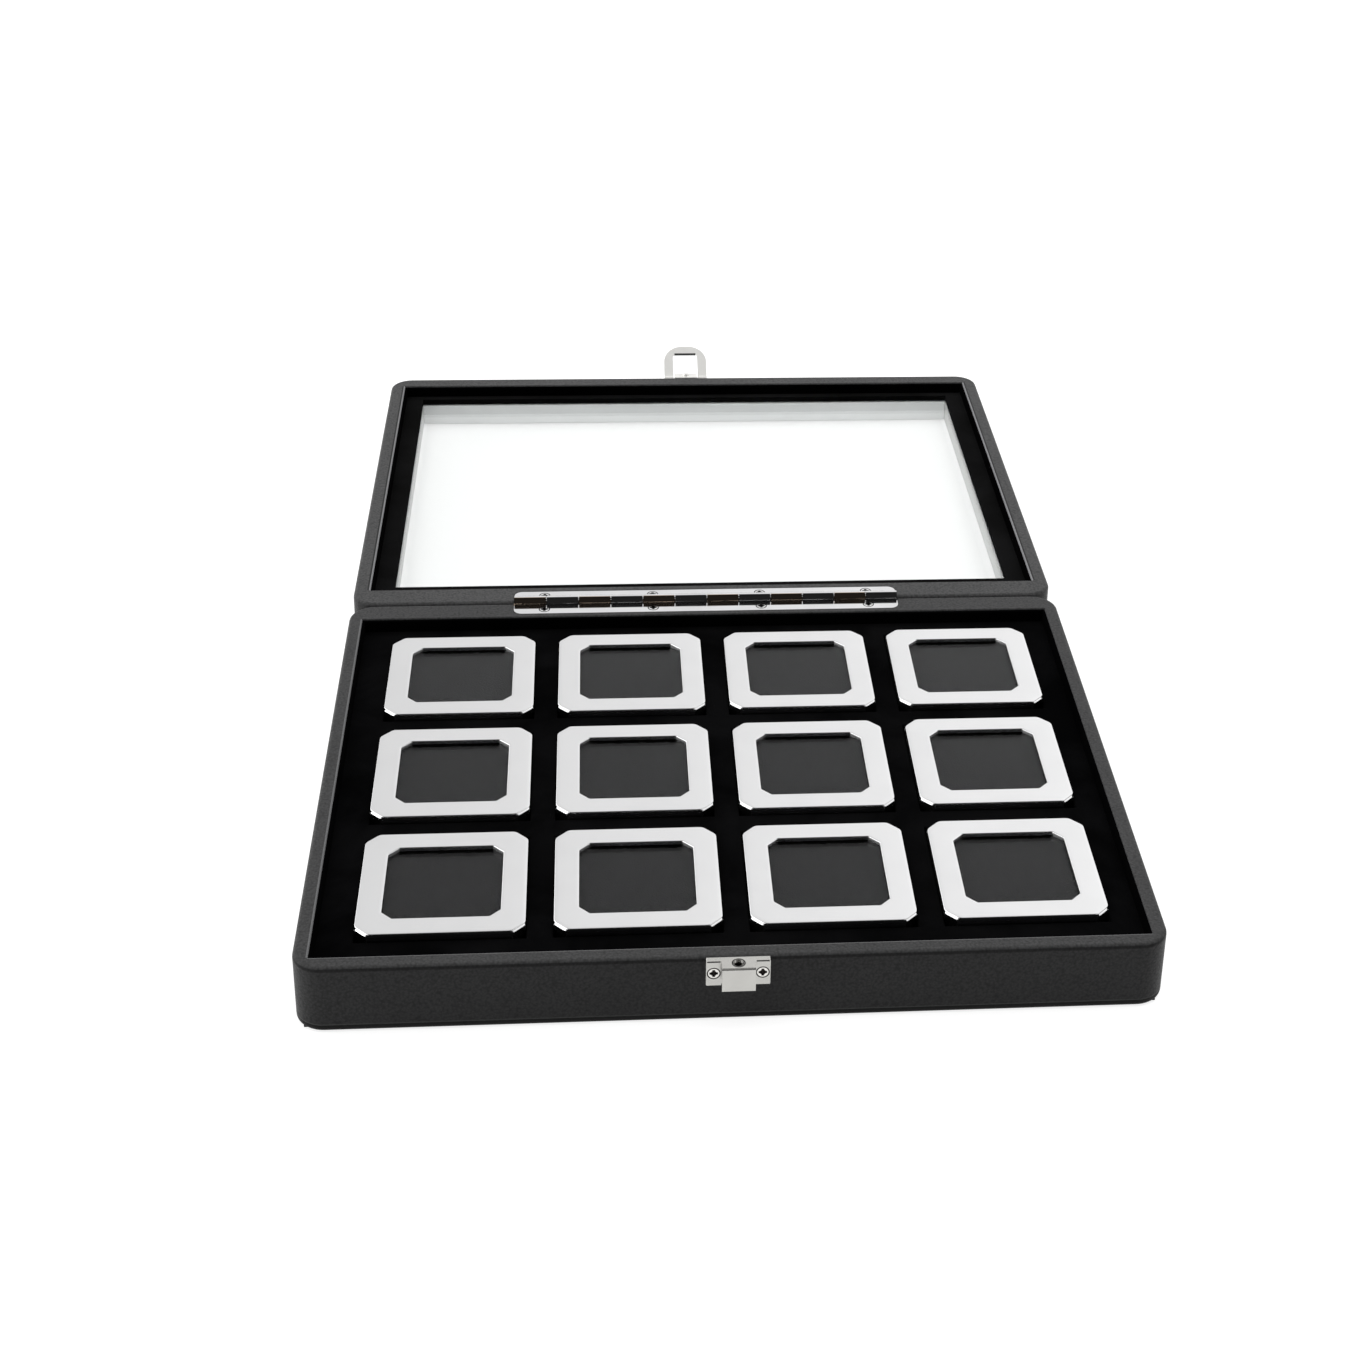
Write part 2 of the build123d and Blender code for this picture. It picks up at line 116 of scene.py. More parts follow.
def newGroup(name, inputs, outputs):
    group = bpy.data.node_groups.new(name, "ShaderNodeTree")
    group.interface.new_socket("Vector", in_out="INPUT", socket_type="NodeSocketVector")
    for label, value in inputs.items():
        socket = group.interface.new_socket(label, in_out="INPUT", socket_type="NodeSocketFloat")
        socket.default_value = value
    for label in outputs:
        group.interface.new_socket(label, in_out="OUTPUT", socket_type="NodeSocketFloat")
    return group, group.nodes.new("NodeGroupInput"), group.nodes.new("NodeGroupOutput")


def mathNode(tree, operation, a, b=None):
    node = addNode(tree, "ShaderNodeMath", operation=operation)
    for socket, value in zip(node.inputs, (a, b)):
        if value is None:
            continue
        if isinstance(value, (int, float)):
            socket.default_value = value
        else:
            tree.links.new(value, socket)
    return node.outputs[0]


def boxMask(tree, point, middle, half, soft=0.08 * mm):
    # 1 inside an upright box of half sizes half about middle, 0 outside, fading over soft each way.
    spot = addNode(tree, "ShaderNodeSeparateXYZ")
    tree.links.new(point, spot.inputs[0])
    mask = None
    for axis, centre, size in zip("XYZ", middle, half):
        away = mathNode(tree, "ABSOLUTE", mathNode(tree, "SUBTRACT", spot.outputs[axis], centre))
        inside = mapRange(tree, away, size - soft, size + soft, 1.0, 0.0)
        mask = inside if mask is None else mathNode(tree, "MULTIPLY", mask, inside)
    return mask


unturned = ((0, 0, 0), (0, 0, 0))   # the frame of a piece's own space


def addPaintedLight(tree, colour, paintedBoxes):
    # boxes of painted light and shade, each with a colour of its own, given as the point's frame, middle,
    # half sizes and colour
    for place, middle, half, paintColour in paintedBoxes:
        colour = mixColours(tree, boxMask(tree, objectPoint(tree, *place), middle, half), colour, paintColour)
    return colour


def makeGrain():
    # Pebbled grain: soft hollows between cells, fine noise on top of them, and a slow blotch.
    inputs = {"Cells per metre": 1500.0, "Blotches per metre": 40.0}
    group, source, sink = newGroup("pebbleGrain", inputs, ("Height", "Blotch"))
    cells = addNode(group, "ShaderNodeTexVoronoi", feature="SMOOTH_F1")
    fine = addNode(group, "ShaderNodeTexNoise")
    blotch = addNode(group, "ShaderNodeTexNoise")
    setInputs(fine, Detail=3.0, Roughness=0.6)
    setInputs(blotch, Detail=2.0)
    for texture in (cells, fine, blotch):
        group.links.new(source.outputs["Vector"], texture.inputs["Vector"])
    group.links.new(source.outputs["Cells per metre"], cells.inputs["Scale"])
    fineScale = mathNode(group, "MULTIPLY", source.outputs["Cells per metre"], 2.3)
    group.links.new(fineScale, fine.inputs["Scale"])
    group.links.new(source.outputs["Blotches per metre"], blotch.inputs["Scale"])
    hollow = mathNode(group, "MULTIPLY", cells.outputs["Distance"], -0.8)
    height = mathNode(group, "ADD", hollow, mathNode(group, "MULTIPLY", fine.outputs["Fac"], 0.5))
    group.links.new(height, sink.inputs["Height"])
    group.links.new(blotch.outputs["Fac"], sink.inputs["Blotch"])
    return group


def makePile():
    # Short pile: fine speckle for the fibres' tips and soft strokes where the nap lies another way.
    inputs = {"Fibres per metre": 4000.0, "Strokes per metre": 30.0}
    group, source, sink = newGroup("velvetPile", inputs, ("Height", "Nap"))
    tips = addNode(group, "ShaderNodeTexNoise")
    strokes = addNode(group, "ShaderNodeTexNoise")
    setInputs(tips, Detail=2.0, Roughness=0.7)
    setInputs(strokes, Detail=4.0, Roughness=0.55, Distortion=0.6)
    for texture in (tips, strokes):
        group.links.new(source.outputs["Vector"], texture.inputs["Vector"])
    group.links.new(source.outputs["Fibres per metre"], tips.inputs["Scale"])
    group.links.new(source.outputs["Strokes per metre"], strokes.inputs["Scale"])
    group.links.new(tips.outputs["Fac"], sink.inputs["Height"])
    group.links.new(strokes.outputs["Fac"], sink.inputs["Nap"])
    return group


def makePolish():
    # Polished plating: a few soft smears and very fine polishing lines along X.
    inputs = {"Smears per metre": 60.0, "Lines per metre": 2500.0}
    group, source, sink = newGroup("platingPolish", inputs, ("Smear", "Lines"))
    stretch = addNode(group, "ShaderNodeMapping")
    setInputs(stretch, Scale=(0.04, 1.0, 1.0))
    lines = addNode(group, "ShaderNodeTexNoise")
    smear = addNode(group, "ShaderNodeTexNoise")
    setInputs(lines, Detail=2.0)
    setInputs(smear, Detail=3.0)
    group.links.new(source.outputs["Vector"], stretch.inputs["Vector"])
    group.links.new(stretch.outputs["Vector"], lines.inputs["Vector"])
    group.links.new(source.outputs["Vector"], smear.inputs["Vector"])
    group.links.new(source.outputs["Lines per metre"], lines.inputs["Scale"])
    group.links.new(source.outputs["Smears per metre"], smear.inputs["Scale"])
    group.links.new(smear.outputs["Fac"], sink.inputs["Smear"])
    group.links.new(lines.outputs["Fac"], sink.inputs["Lines"])
    return group


screwShadeLook = {  # painted shade in screw seats and heads; each pair: where it starts to fade, and where the fade ends
    "ringInside": (1.9 * mm, 2.05 * mm),    # radii at the inner side of a seat's painted shade ring
    "ringOutside": (2.35 * mm, 2.5 * mm),   # radii at its outer side
    "armWidth": (0.4 * mm, 0.6 * mm),       # from the middle line of the cross's arms
    "armReach": (1.4 * mm, 1.6 * mm),       # along those arms
    "middle": (1.0 * mm, 1.2 * mm),         # radii of the painted shade in the head's middle
}


def makeScrewShade(look):
    # Painted shade for a row of screws along X whose heads face local Z: a dark ring in the gap of each seat
    # and a dark cross in each head's recess. X is wrapped to the nearest screw, and the masks come from
    # distances to it.
    inputs = {"Pitch": 47.0 * mm, "First": 23.5 * mm}
    group, source, sink = newGroup("screwShades", inputs, ("Ring", "Cross"))
    spot = addNode(group, "ShaderNodeSeparateXYZ")
    group.links.new(source.outputs["Vector"], spot.inputs[0])
    half = mathNode(group, "MULTIPLY", source.outputs["Pitch"], 0.5)
    along = addNode(group, "ShaderNodeMath", operation="WRAP")
    offset = mathNode(group, "SUBTRACT", spot.outputs["X"], source.outputs["First"])
    group.links.new(offset, along.inputs[0])
    group.links.new(half, along.inputs[1])
    group.links.new(mathNode(group, "MULTIPLY", half, -1.0), along.inputs[2])
    x = mathNode(group, "ABSOLUTE", along.outputs[0])
    y = mathNode(group, "ABSOLUTE", spot.outputs["Y"])
    squares = mathNode(group, "ADD", mathNode(group, "MULTIPLY", x, x), mathNode(group, "MULTIPLY", y, y))
    radius = mathNode(group, "SQRT", squares)
    inner = mapRange(group, radius, *look["ringInside"], 0.0, 1.0)
    outer = mapRange(group, radius, *look["ringOutside"], 1.0, 0.0)
    ring = mathNode(group, "MULTIPLY", inner, outer)
    arm = mapRange(group, mathNode(group, "MINIMUM", x, y), *look["armWidth"], 1.0, 0.0)
    reach = mapRange(group, mathNode(group, "MAXIMUM", x, y), *look["armReach"], 1.0, 0.0)
    middle = mapRange(group, radius, *look["middle"], 1.0, 0.0)
    cross = mathNode(group, "MAXIMUM", mathNode(group, "MULTIPLY", arm, reach), middle)
    group.links.new(ring, sink.inputs["Ring"])
    group.links.new(mathNode(group, "MAXIMUM", cross, ring), sink.inputs["Cross"])
    return group


pebbleGrain = makeGrain()
screwShades = makeScrewShade(screwShadeLook)
velvetPile = makePile()
platingPolish = makePolish()


leatherLook = {
    "dark": (0.035, 0.035, 0.0355),
    "light": (0.049, 0.049, 0.0495),
    "valley": (0.008, 0.008, 0.008),
    "grain": 0.5,             # how far the valleys between the grains take that colour
    "roughness": (0.4, 0.54),
    "gloss": 0.1,
    "cells": 1150.0,          # grains per metre
    "bump": 0.55,
    "bumpDepth": 0.2 * mm,
}
footShadeLook = {
    "height": 3.0 * mm,       # the covering is turned in below this height, and gets a painted shade there
    "fade": 0.1 * mm,
    # painted shade of the foot
    "colour": (0.006, 0.006, 0.006),
    "secondTone": (0.075, 0.077, 0.075),   # thin lighter line above it
    "lineReach": 0.6 * mm,
}
# Painted shade: a dark line along the crease below the rim's outer edge.
creaseShadeLook = {
    "depth": 1.1 * mm,              # the crease of the rim's outer edge lies this far below the rim
    "above": (0.3 * mm, 0.6 * mm),  # fades out upwards between these distances
    "below": (0.9 * mm, 0.4 * mm),  # and comes in from below between these
    "share": 0.6,
    "colour": (0.004, 0.004, 0.004),
}
rimPaintedLightLook = {
    "line": 0.35 * mm,        # half width of the painted highlight along a rim's inner edge
    "reach": 1.8 * mm,        # half height of the boxes that draw it
    # colours of the painted highlight on the base and on the lid, and of the painted shade beside it
    "base": (0.105, 0.105, 0.107),
    "lid": (0.16, 0.16, 0.165),
    "beside": (0.012, 0.012, 0.012),
    "lean": -1.59,            # degrees by which the open lid leans back
}


def rimPaintedLight(look, lining, lean):
    # Boxes of painted highlight round the inner edges of the rims, seen from a frame at the lining's middle
    # that lies level with the rim: left and front on the base, both sides on the lid, there with a painted
    # shade line beside it.
    low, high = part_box(lining)
    middle = tuple((a + b) / 2 for a, b in zip(low, high))
    place = (middle, (math.radians(lean), 0, 0))
    half = [(b - a) / 2 for a, b in zip(low, high)]
    top = half[2] - half[1] * abs(math.sin(math.radians(lean)))
    wide, colour = look["line"], look["lid" if lean else "base"]

    def sideLine(side, lines, paint):
        # lines: how many line half widths the middle of the line lies outside the lining
        return (place, (side * (half[0] + lines * wide), 0, top), (wide, half[1], look["reach"]), paint)

    if lean:
        light = [sideLine(side, 1, colour) for side in (-1, 1)]
        return light + [sideLine(side, 3, look["beside"]) for side in (-1, 1)]
    front = (place, (0, -half[1] - wide, top), (half[0], wide, look["reach"]), colour)
    return [sideLine(-1, 1, colour), front]


def addFootShade(tree, point, colour):
    # Painted shade on the turned-in foot under a thin lighter line, and a painted shade line along the
    # crease below the rim's outer edge.
    spot = addNode(tree, "ShaderNodeSeparateXYZ")
    tree.links.new(point, spot.inputs[0])
    height, look, shadeBand = spot.outputs["Z"], footShadeLook, creaseShadeLook
    foot, fade = look["height"], look["fade"]
    above = mapRange(tree, height, foot - fade, foot + fade, 0.0, 1.0)
    line = mapRange(tree, height, foot + fade, foot + look["lineReach"], 1.0, 0.0)
    colour = mixColours(tree, above, look["colour"], mixColours(tree, line, colour, look["secondTone"]))
    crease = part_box("base_case")[1][2] - shadeBand["depth"]
    upper = mapRange(tree, height, crease + shadeBand["above"][0], crease + shadeBand["above"][1], 1.0, 0.0)
    lower = mapRange(tree, height, crease - shadeBand["below"][0], crease - shadeBand["below"][1], 0.0, shadeBand["share"])
    return mixColours(tree, mathNode(tree, "MULTIPLY", upper, lower), colour, shadeBand["colour"])


def makeLeatherette(name, look, foot=False, lines=()):
    # Pebbled grain with darker valleys, on a slow blotch of two greys. foot adds painted shade at the foot
    # and below the rim's outer edge, and lines are boxes of painted highlight and painted shade.
    material, tree, shader = newMaterial(name, Specular_IOR_Level=look["gloss"])
    point = objectPoint(tree)
    grain = useGroup(tree, pebbleGrain, point, Cells_per_metre=look["cells"])
    colour = mixColours(tree, grain.outputs["Blotch"], look["dark"], look["light"])
    valley = mapRange(tree, grain.outputs["Height"], -0.35, 0.1, look["grain"], 0.0)
    colour = mixColours(tree, valley, colour, look["valley"])
    if foot:
        colour = addFootShade(tree, point, colour)
    tree.links.new(addPaintedLight(tree, colour, lines), shader.inputs["Base Color"])
    rough = mapRange(tree, grain.outputs["Height"], -0.4, 0.4, *look["roughness"][::-1])
    tree.links.new(rough, shader.inputs["Roughness"])
    addBump(tree, shader, grain.outputs["Height"], look["bump"], look["bumpDepth"])
    return material


velvetLook = {
    "dark": (0.0008, 0.0008, 0.0009),
    "light": (0.0026, 0.0026, 0.0028),
    "sheen": 0.006,
    "bump": 0.5,
    "bumpDepth": 0.2 * mm,
}


def makeVelvet(name, look):
    # Pile whose nap changes the colour softly and whose tips give the bump.
    material, tree, shader = newMaterial(
        name, Roughness=1.0, Specular_IOR_Level=0.0, Sheen_Weight=look["sheen"], Sheen_Roughness=0.5
    )
    pile = useGroup(tree, velvetPile, objectPoint(tree))
    nap = mapRange(tree, pile.outputs["Nap"], 0.35, 0.65, 0.0, 1.0)
    tree.links.new(mixColours(tree, nap, look["dark"], look["light"]), shader.inputs["Base Color"])
    addBump(tree, shader, pile.outputs["Height"], look["bump"], look["bumpDepth"])
    return material


platingLooks = {  # colour, colour of the smears, and the roughness outside and inside them
    "gemFrameChrome": {
        "colour": (0.9, 0.9, 0.905), "secondTone": (0.88, 0.88, 0.885), "roughness": (0.14, 0.18), "bump": 0.01,
    },
    "hingeChrome": {
        "colour": (0.86, 0.86, 0.87), "secondTone": (0.8, 0.8, 0.81), "roughness": (0.05, 0.1), "bump": 0.01,
    },
    "catchNickel": {
        "colour": (0.53, 0.525, 0.5), "secondTone": (0.47, 0.465, 0.445), "roughness": (0.2, 0.3), "bump": 0.04,
        "metal": 0.75,
    },
    "haspNickel": {
        "colour": (0.85, 0.845, 0.82), "secondTone": (0.8, 0.795, 0.77), "roughness": (0.3, 0.4), "bump": 0.04,
        "metal": 0.5,
    },
    "loopNickel": {
        "colour": (0.8, 0.795, 0.77), "secondTone": (0.74, 0.735, 0.71), "roughness": (0.4, 0.5), "bump": 0.04,
        "metal": 0.5,
    },
    "hingeScrew": {
        "colour": (0.85, 0.85, 0.85), "secondTone": (0.75, 0.75, 0.75), "roughness": (0.1, 0.2), "bump": 0.02,
    },
    "plateScrew": {
        "colour": (0.68, 0.67, 0.64), "secondTone": (0.58, 0.57, 0.55), "roughness": (0.15, 0.25), "bump": 0.02,
    },
}
facingFront, facingUp, facingBack = (math.pi / 2, 0, 0), (0, 0, 0), (-math.pi / 2, 0, 0)
screwRows = {  # nodes of each row's screws: the spacing, the turn that brings their heads to local Z, finish
    "catch_screws": {"pitch": 17.05 * mm, "turn": facingFront, "look": "plateScrew"},
    "hasp_screws": {"pitch": 17.05 * mm, "turn": facingBack, "look": "plateScrew"},
    "base_hinge_screws": {"pitch": 47.0 * mm, "turn": facingUp, "look": "hingeScrew"},
    "lid_hinge_screws": {"pitch": 47.0 * mm, "turn": facingUp, "look": "hingeScrew"},
}
# colour of all painted shade on the plating
paintedShade = (0.012, 0.011, 0.01)


def makePlating(name, look, screws=None, shadeKind="Ring", paintedBoxes=(), hole=None):
    # Two greys and two roughnesses mixed by the smears. screws names the row whose painted shade rings or
    # crosses are drawn, hole is the middle of an upright hole with a painted shade ring round it, and the
    # boxes paint shade and reflection in colours of their own.
    material, tree, shader = newMaterial(name, Metallic=look.get("metal", 1.0))
    polish = useGroup(tree, platingPolish, objectPoint(tree))
    smear = mapRange(tree, polish.outputs["Smear"], 0.4, 0.7, 0.0, 1.0)
    colour = mixColours(tree, smear, look["colour"], look["secondTone"])
    rough = mapRange(tree, polish.outputs["Smear"], 0.35, 0.7, *look["roughness"])
    if screws:
        low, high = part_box(screws)
        pitch, turn = screwRows[screws]["pitch"], screwRows[screws]["turn"]
        height = high[2] if turn == facingUp else (low[2] + high[2]) / 2
        point = objectPoint(tree, (0, (low[1] + high[1]) / 2, height), turn)
        shades = useGroup(tree, screwShades, point, Pitch=pitch, First=pitch / 2)
        colour = mixColours(tree, shades.outputs[shadeKind], colour, paintedShade)
    if hole:
        holeShade = useGroup(tree, screwShades, objectPoint(tree, hole), Pitch=1.0, First=0.0)
        colour = mixColours(tree, holeShade.outputs["Ring"], colour, paintedShade)
    tree.links.new(addPaintedLight(tree, colour, paintedBoxes), shader.inputs["Base Color"])
    tree.links.new(rough, shader.inputs["Roughness"])
    addBump(tree, shader, polish.outputs["Lines"], look["bump"], 0.02 * mm)
    return material


foamLook = {
    "dark": (0.002, 0.002, 0.0022),
    "light": (0.007, 0.007, 0.0076),
    "pores": 1800.0,          # per metre
    "blotches": 70.0,
    "bump": 0.7,
    "bumpDepth": 0.2 * mm,
}


def makeFoam(name, look):
    # Open cells: dark pores between lighter struts.
    material, tree, shader = newMaterial(name, Roughness=0.95, Specular_IOR_Level=0.1)
    sizes = {"Cells_per_metre": look["pores"], "Blotches_per_metre": look["blotches"]}
    grain = useGroup(tree, pebbleGrain, objectPoint(tree), **sizes)
    cells = mapRange(tree, grain.outputs["Height"], -0.3, 0.3, 0.0, 1.0)
    tree.links.new(mixColours(tree, cells, look["dark"], look["light"]), shader.inputs["Base Color"])
    addBump(tree, shader, grain.outputs["Height"], look["bump"], look["bumpDepth"])
    return material


cardLook = {
    "dark": (0.79, 0.8, 0.8),
    "light": (0.87, 0.88, 0.88),
    "sides": (0.53, 0.53, 0.525),   # painted shade on the walls at the left and the right
    "sideReach": 1.7 * mm,          # half width of the boxes that hold those walls
    "fibres": 2200.0,               # per metre, as the strokes of the blotch are
    "strokes": 50.0,
    "bump": 0.2,
    "bumpDepth": 0.05 * mm,
}


def makeCard(name, look):
    # Matt paper: a weak blotch and fine fibres, with painted shade on the walls at the left and the right.
    material, tree, shader = newMaterial(name, Roughness=0.75, Specular_IOR_Level=0.3)
    sizes = {"Fibres_per_metre": look["fibres"], "Strokes_per_metre": look["strokes"]}
    pile = useGroup(tree, velvetPile, objectPoint(tree), **sizes)
    colour = mixColours(tree, pile.outputs["Nap"], look["dark"], look["light"])
    low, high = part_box("window_frame")
    reach = look["sideReach"]
    middle = ((low[1] + high[1]) / 2, (low[2] + high[2]) / 2)
    half = (reach, high[1] - low[1], high[2] - low[2])
    sides = [(unturned, (side * (high[0] - reach), *middle), half, look["sides"]) for side in (-1, 1)]
    tree.links.new(addPaintedLight(tree, colour, sides), shader.inputs["Base Color"])
    addBump(tree, shader, pile.outputs["Height"], look["bump"], look["bumpDepth"])
    return material


glassLooks = {
    "windowGlass": {"tint": (0.985, 0.995, 0.99), "bend": 1.4, "smudge": 0.015},
    "gemGlass": {"tint": (0.98, 0.985, 0.985), "bend": 1.17, "smudge": 0.01},
}
glassShade = (0.94, 0.95, 0.95)   # share of the light that reaches what lies behind a pane


def makeGlass(name, look):
    # Clear to shadow rays, so that what lies behind the pane is lit as through real thin glass.
    material, tree, shader = newMaterial(
        name, Transmission_Weight=1.0, IOR=look["bend"], Base_Color=(*look["tint"], 1)
    )
    polish = useGroup(tree, platingPolish, objectPoint(tree), Smears_per_metre=25.0)
    smudge = mapRange(tree, polish.outputs["Smear"], 0.5, 0.8, 0.0, look["smudge"])
    tree.links.new(smudge, shader.inputs["Roughness"])
    passing = addNode(tree, "ShaderNodeBsdfTransparent")
    passing.inputs["Color"].default_value = (*glassShade, 1)
    ray = addNode(tree, "ShaderNodeLightPath")
    blend = addNode(tree, "ShaderNodeMixShader")
    out = tree.nodes["Material Output"]
    tree.links.new(ray.outputs["Is Shadow Ray"], blend.inputs[0])
    tree.links.new(shader.outputs["BSDF"], blend.inputs[1])
    tree.links.new(passing.outputs["BSDF"], blend.inputs[2])
    tree.links.new(blend.outputs["Shader"], out.inputs["Surface"])
    return material


# Painted shade: dark lines where light doesn't reach, under the front edge of the catch's ears and along the
# inner edge of the loop's bar. Painted reflection: the front half of the base's knuckles is tinted bronze.
paintedLightPlaces = {
    "ear": 8.55 * mm,          # middle of the catch to the middle of an ear
    "earFace": 2.2 * mm,       # front wall to the face of the ears
    "earHalf": (2.3 * mm, 0.15 * mm, 0.28 * mm),
    "bar": 15.6 * mm,          # pin to the middle of the line
    "barTurn": -56.59,         # degrees that stand the laid back loop upright
    "barHalf": (5.6 * mm, 1.2 * mm, 0.35 * mm),
    "knuckleReflection": 1.6 * mm,       # hinge axis forward to the middle of the painted bronze reflection
    "reflectionHalf": (100.0 * mm, 1.2 * mm, 4.0 * mm),
    # colour of the painted bronze reflection
    "brownReflection": (0.88, 0.7, 0.55),
    "hole": 3.3 * mm,          # front wall to the catch's hole
}


def axisOf(pin):
    # Height and depth of the axis of a pin that runs along X.
    low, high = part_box(pin)
    return (low[1] + high[1]) / 2, (low[2] + high[2]) / 2


def platingPaintedLight(look):
    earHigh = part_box("catch_plate")[1][2] - look["earHalf"][2]
    ears = [
        (unturned, (side * look["ear"], frontFace - look["earFace"], earHigh), look["earHalf"], paintedShade)
        for side in (-1, 1)
    ]
    upright = ((0, *axisOf("hasp_pin")), (math.radians(look["barTurn"]), 0, 0))
    bar = [(upright, (0, 0, look["bar"]), look["barHalf"], paintedShade)]
    y, z = axisOf("hinge_pin")
    knuckles = [(unturned, (0, y - look["knuckleReflection"], z), look["reflectionHalf"], look["brownReflection"])]
    return ears, bar, knuckles


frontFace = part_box("base_case")[0][1]
earShade, barShade, knuckleReflection = platingPaintedLight(paintedLightPlaces)
studHole = (0, frontFace - paintedLightPlaces["hole"], 0)

baseRimHighlights = rimPaintedLight(rimPaintedLightLook, "base_lining", 0)
lidRimPaintedLight = rimPaintedLight(rimPaintedLightLook, "lid_lining", rimPaintedLightLook["lean"])
boardLook = {**leatherLook, "roughness": (0.6, 0.75), "bump": 0.15}
# Painted light: the lid's covering is the base's leatherette made lighter.
litLidLook = {**leatherLook, "dark": (0.045, 0.045, 0.0455), "light": (0.063, 0.063, 0.0635)}
bezelLook = {**velvetLook, "dark": (0.003, 0.003, 0.003), "light": (0.0055, 0.0055, 0.0057)}
liningLook = {
    **velvetLook, "dark": (0.0004, 0.0004, 0.0005), "light": (0.001, 0.001, 0.0011), "sheen": 0.002,
}
hingeLook, catchLook = platingLooks["hingeChrome"], platingLooks["catchNickel"]

foam = makeFoam("greyFoam", foamLook)
gemGlass = makeGlass("gemGlass", glassLooks["gemGlass"])
gemFrameChrome = makePlating("gemFrameChrome", platingLooks["gemFrameChrome"])
finishes = {
    makeLeatherette("baseLeatherette", leatherLook, foot=True, lines=baseRimHighlights): ["base_case"],
    makeLeatherette("lidLeatherette", litLidLook, lines=lidRimPaintedLight): ["lid_case"],
    makeLeatherette("coveredBoard", boardLook): ["base_board"],
    makeVelvet("blackVelvet", velvetLook): ["velvet_insert"],
    makeVelvet("bezelVelvet", bezelLook): ["velvet_bezel"],
    makeVelvet("liningVelvet", liningLook): ["base_lining", "lid_lining"],
    makeCard("greyCard", cardLook): ["window_frame"],
    makeGlass("windowGlass", glassLooks["windowGlass"]): ["lid_glass"],
    makePlating("baseHingeChrome", hingeLook, "base_hinge_screws", paintedBoxes=knuckleReflection): [
        "base_hinge_leaf", "hinge_pin",
    ],
    makePlating("lidHingeChrome", hingeLook, "lid_hinge_screws"): ["lid_hinge_leaf"],
    makePlating("catchNickel", catchLook, "catch_screws", paintedBoxes=earShade, hole=studHole): ["catch_plate"],
    makePlating("haspNickel", platingLooks["haspNickel"], "hasp_screws"): ["hasp_plate", "hasp_pin"],
    makePlating("loopNickel", platingLooks["loopNickel"], paintedBoxes=barShade): ["hasp_loop"],
    gemFrameChrome: ["gem_tray_" + name for name in gemNames],
}
# each screw's head gets its painted shade cross and ring
for name, row in screwRows.items():
    finishes[makePlating(name, platingLooks[row["look"]], name, "Cross")] = [name]
for material, names in finishes.items():
    for name in names:
        for materialSlot in nodes[name].material_slots:
            materialSlot.material = material
print("materials made:", len(bpy.data.materials))


cutShare = 0.586   # a cut corner's leg shrinks by this much for each unit that the sides move in


def octagonRow(half, cut, z, rounding=1.2 * mm, steps=4):
    # A square of half width half whose corners are cut off by cut: eight corner points, each
    # replaced by a short arc of steps points, counter-clockwise seen from above, at height z.
    a, b = half, half - cut
    corners = np.array([(a, -b), (a, b), (b, a), (-b, a), (-a, b), (-a, -b), (-b, -a), (b, -a)])
    before = corners - np.roll(corners, 1, 0)
    after = np.roll(corners, -1, 0) - corners
    beforeLength = np.linalg.norm(before, axis=1)
    afterLength = np.linalg.norm(after, axis=1)
    reach = np.minimum(rounding, 0.45 * np.minimum(beforeLength, afterLength))
    start = corners - before / beforeLength[:, None] * reach[:, None]
    end = corners + after / afterLength[:, None] * reach[:, None]
    t = np.linspace(0, 1, steps)[None, :, None]
    arc = (1 - t) ** 2 * start[:, None] + 2 * t * (1 - t) * corners[:, None] + t ** 2 * end[:, None]
    flat = arc.reshape(-1, 2)
    return np.column_stack([flat, np.full(len(flat), z)])


def loft(name, rows, closed=False, capped=False):
    # Rows of points joined by quads: point j of row i is i * count + j. A closed loft joins the last
    # row to the first, a capped one gets a flat face at each end.
    rows = np.asarray(rows)
    total, count = rows.shape[:2]
    i = np.arange(total if closed else total - 1)[:, None]
    j = np.arange(count)[None, :]
    below, above = i * count, (i + 1) % total * count
    following = (j + 1) % count
    quads = np.stack([below + j, below + following, above + following, above + j], -1).reshape(-1, 4)
    faces = quads.tolist()
    if capped:
        faces.append(list(range(count))[::-1])
        faces.append([(total - 1) * count + k for k in range(count)])
    mesh = bpy.data.meshes.new(name)
    mesh.from_pydata(rows.reshape(-1, 3).tolist(), [], faces)
    mesh.validate()
    return mesh


def addPiece(name, mesh, material, body, smoothAngle=30):
    # An edge sharper than smoothAngle degrees stays crisp.
    piece = bpy.data.objects.new(name, mesh)
    bpy.context.scene.collection.objects.link(piece)
    mesh.materials.append(material)
    mesh.shade_smooth()
    mesh.set_sharp_from_angle(angle=math.radians(smoothAngle))
    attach(piece, body)
    return piece


gemFrame = {
    "half": 30.0 * mm,
    "window": 21.05 * mm,
    "windowCut": 3.9 * mm,
    "windowRound": 0.4 * mm,
    "topCut": 4.9 * mm,      # corner cut at the upper edge
    "footCut": 4.2 * mm,     # corner cut below the slope of the corner facets
    "slope": 0.5 * mm,       # height of that slope
    "plate": 1.5 * mm,
    "crown": 0.10 * mm,      # the top falls away this much towards the outer edge
    "edge": 0.3 * mm,        # rounding of the outer and the inner edge
    "skirtInset": 1.15 * mm,
    "skirtWall": 1.0 * mm,
    "skirtDrop": 1.3 * mm,
    "skirtCut": 4.6 * mm,    # corner cut that skirt and pane follow, so that they clear the tray
    "skirtEdge": 0.1 * mm,   # bevel under the skirt
}


